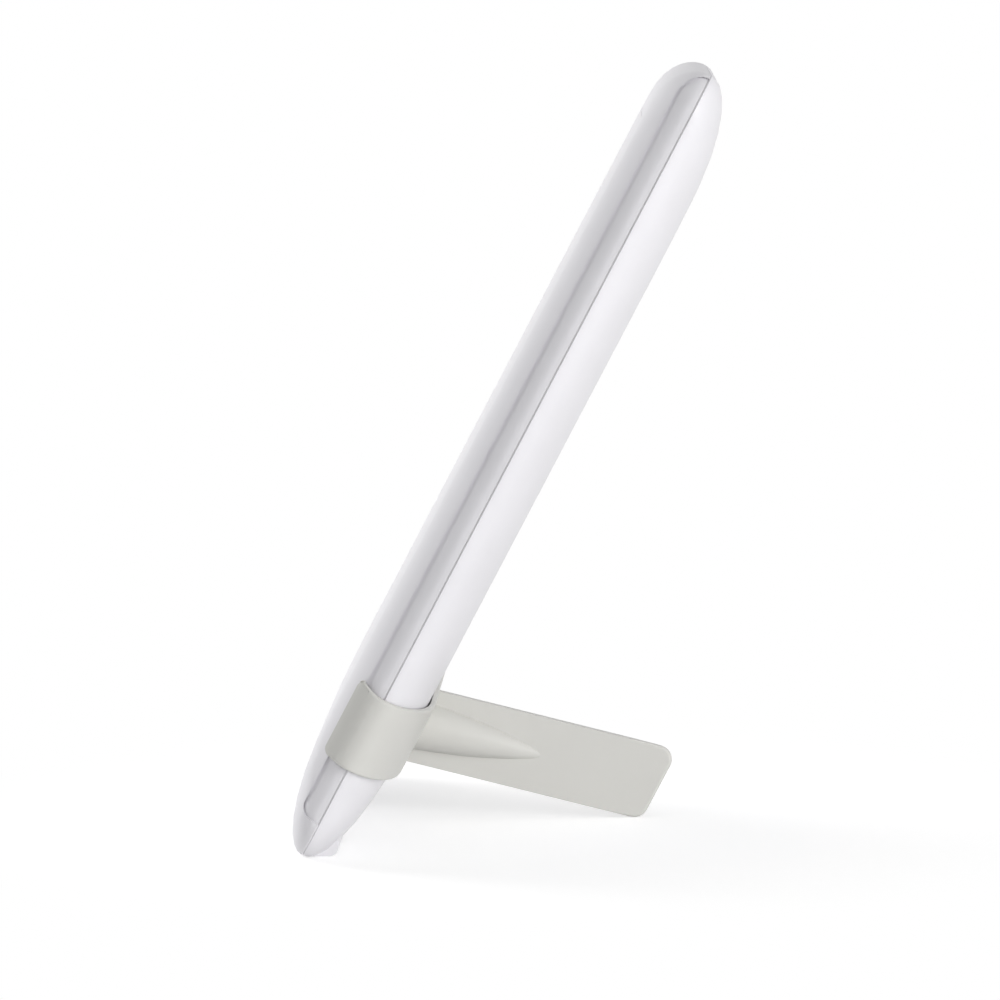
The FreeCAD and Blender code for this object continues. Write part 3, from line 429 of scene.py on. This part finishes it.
def on_fin(ends, normals):
    """The fin's outline, where a flank meets a narrow face that turns nowhere to the side."""
    narrow, flank = sorted(abs(normal.x) for normal in normals)
    clear = all(behind(end) > BAND_BACK + FIN_START for end in ends)
    return clear and narrow < 0.05 and flank > 0.99


def on_rims(ends, normals):
    """The band's upper and lower rims, and all round its lips."""
    middle = (ends[0] + ends[1]) / 2
    rim = min(abs(upward(middle) - BAND_LOW), abs(upward(middle) - BAND_HIGH)) < RIM_PLAY
    return behind(middle) < BAND_BACK + HAIR and (rim or behind(middle) < LIP_START)


def outside(ends, normals):
    """Whether an edge of the band lies on its outer surface."""
    middle = (ends[0] + ends[1]) / 2
    out = Vector((middle.x, 0, 0)) + BACK * (behind(middle) - BAND_BACK / 2)
    return max(normals, key=lambda normal: abs(normal.dot(out))).dot(out) > 0


def on_outer_rims(ends, normals):
    """The outer rims, without the lips' lower ends, whose corners are too tight to round."""
    middle = (ends[0] + ends[1]) / 2
    clear = upward(middle) > BAND_HIGH - LIP_TOP or behind(middle) > LIP_END
    return clear and on_rims(ends, normals) and outside(ends, normals)


def on_inner_rims(ends, normals):
    return on_rims(ends, normals) and not outside(ends, normals)


stand = finished_copy("stand", "stand_moulding")
bevel_edges(stand, on_fin, 0.95 * MM, 4, STAND_SHARP)
collapse_short_edges(stand, SHORT)
bevel_edges(stand, on_outer_rims, 0.8 * MM, 4, STAND_SHARP, clamp=False)
bevel_edges(stand, on_inner_rims, 0.2 * MM, 2, STAND_SHARP)
smooth(stand)
dress(stand, MATERIALS["stand"])
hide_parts("stand")
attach(stand, "stand")


# ---------------------------------------------------------------- floor, world and lights

PAPER = 0.95                # how much light the floor throws back


def studio_floor(name, lit, share, near, far):
    """A white floor that keeps the lamp's shadow.

    Light bounces off it as off white paper. To the camera, and in reflections, it is plain
    white less the shadow: near the lamp, share of what the camera sees is the paper, whose
    unshadowed value is lit, and from near to far (in metres) the share falls to nothing.
    """
    material = bpy.data.materials.new(name)
    material.use_nodes = True
    tree = material.node_tree
    nodes, link = tree.nodes, tree.links.new
    nodes.clear()
    place = nodes.new("ShaderNodeTexCoord")
    distance = nodes.new("ShaderNodeVectorMath")
    distance.operation = "LENGTH"
    link(place.outputs["Object"], distance.inputs[0])
    fade = nodes.new("ShaderNodeMapRange")
    fade.interpolation_type = "SMOOTHSTEP"
    for label, value in (("From Min", near), ("From Max", far),
                         ("To Min", share), ("To Max", 0.0)):
        fade.inputs[label].default_value = value
    link(distance.outputs["Value"], fade.inputs["Value"])
    seen_share = fade.outputs["Result"]
    path = nodes.new("ShaderNodeLightPath")
    seen = maths(tree, "MAXIMUM", maths(tree, "MAXIMUM", path.outputs["Is Camera Ray"],
                                        path.outputs["Is Glossy Ray"]),
                 path.outputs["Is Transmission Ray"])
    # Paper: all of it for light that bounces, only the share where it is seen.
    paper = maths(tree, "ADD", maths(tree, "SUBTRACT", 1.0, seen),
                  maths(tree, "MULTIPLY", seen, seen_share))
    white = maths(tree, "MULTIPLY", seen,
                  maths(tree, "SUBTRACT", 1.0, maths(tree, "MULTIPLY", seen_share, lit)))
    tone = nodes.new("ShaderNodeCombineColor")
    for channel in ("Red", "Green", "Blue"):
        link(maths(tree, "MULTIPLY", paper, PAPER), tone.inputs[channel])
    diffuse = nodes.new("ShaderNodeBsdfDiffuse")
    link(tone.outputs["Color"], diffuse.inputs["Color"])
    glow = nodes.new("ShaderNodeEmission")
    glow.inputs["Color"].default_value = (1.0, 1.0, 1.0, 1.0)
    link(white, glow.inputs["Strength"])
    both = nodes.new("ShaderNodeAddShader")
    link(diffuse.outputs[0], both.inputs[0])
    link(glow.outputs[0], both.inputs[1])
    out = nodes.new("ShaderNodeOutputMaterial")
    link(both.outputs[0], out.inputs["Surface"])
    return material


def studio_world(name, fill, mirrored):
    """A world that is white where it is seen, and that lights the lamp by fill only.

    mirrored is how much of the white shows in reflections.
    """
    world = bpy.data.worlds.new(name)
    world.use_nodes = True
    tree = world.node_tree
    nodes, link = tree.nodes, tree.links.new
    nodes.clear()

    def backdrop(colour, strength):
        node = nodes.new("ShaderNodeBackground")
        node.inputs["Color"].default_value = (*colour, 1.0)
        node.inputs["Strength"].default_value = strength
        return node.outputs[0]

    path = nodes.new("ShaderNodeLightPath")
    straight = maths(tree, "MAXIMUM", path.outputs["Is Camera Ray"],
                     path.outputs["Is Transmission Ray"])
    reflected = maths(tree, "MULTIPLY", path.outputs["Is Glossy Ray"], mirrored)
    mix = nodes.new("ShaderNodeMixShader")
    link(maths(tree, "MAXIMUM", straight, reflected), mix.inputs["Fac"])
    link(backdrop((0.98, 0.985, 1.0), fill), mix.inputs[1])
    link(backdrop((1.0, 1.0, 1.0), 1.0), mix.inputs[2])
    out = nodes.new("ShaderNodeOutputWorld")
    link(mix.outputs[0], out.inputs["Surface"])
    return world


deselect()
bpy.ops.mesh.primitive_plane_add(size=6.0, location=(0, 0, 0))
floor = bpy.context.active_object
floor.name = "floor"
dress(floor, studio_floor("studio floor", lit=0.62, share=0.75, near=0.06, far=0.17))
bpy.context.scene.world = studio_world("studio", fill=0.23, mirrored=0.8)

LAMP_MIDDLE = Vector((0.0, 0.0, 0.1))


def softbox(name, place, size, power, glossy=True):
    """A light that faces the lamp: size in metres, power in watts; glossy ones show as
    highlights."""
    light = bpy.data.lights.new(name, "AREA")
    light.shape = "RECTANGLE"
    light.size, light.size_y = size
    light.energy = power
    lamp = bpy.data.objects.new(name, light)
    lamp.location = place
    lamp.rotation_euler = (LAMP_MIDDLE - Vector(place)).to_track_quat("-Z", "Y").to_euler()
    lamp.visible_glossy = glossy
    bpy.context.scene.collection.objects.link(lamp)


softbox("right softbox", (0.88, 0.95, 0.42), (0.8, 0.8), 8.4)
softbox("left softbox", (-0.74, -1.08, 0.54), (0.7, 0.8), 15.0, glossy=False)
softbox("near fill", (1.58, 0.62, 0.14), (0.9, 0.26), 6.8, glossy=False)
softbox("top softbox", (0.0, 0.3, 1.4), (1.0, 1.0), 2.2)


# ---------------------------------------------------------------- camera

# The camera looks at the lamp's side from a little above.
EYE_PLACE = (1.4023, 0.03935, 0.23984)
PITCH, YAW, ROLL = math.radians(6.096), math.radians(-1.745), math.radians(-0.148)
SENSOR = 36.0
FOCAL = 5.0215              # focal length in picture widths

eye = bpy.data.cameras.new("camera")
eye.sensor_width = SENSOR
eye.lens = SENSOR * FOCAL
eye.clip_end = 20.0
camera = bpy.data.objects.new("camera", eye)
forward = Vector((-math.cos(PITCH) * math.cos(YAW), math.cos(PITCH) * math.sin(YAW),
                  -math.sin(PITCH)))
turn = forward.to_track_quat("-Z", "Y").to_matrix().to_4x4()
camera.matrix_world = Matrix.Translation(EYE_PLACE) @ turn @ Matrix.Rotation(ROLL, 4, "Z")
bpy.context.scene.collection.objects.link(camera)
bpy.context.scene.camera = camera
bpy.context.scene.view_settings.view_transform = "Standard"
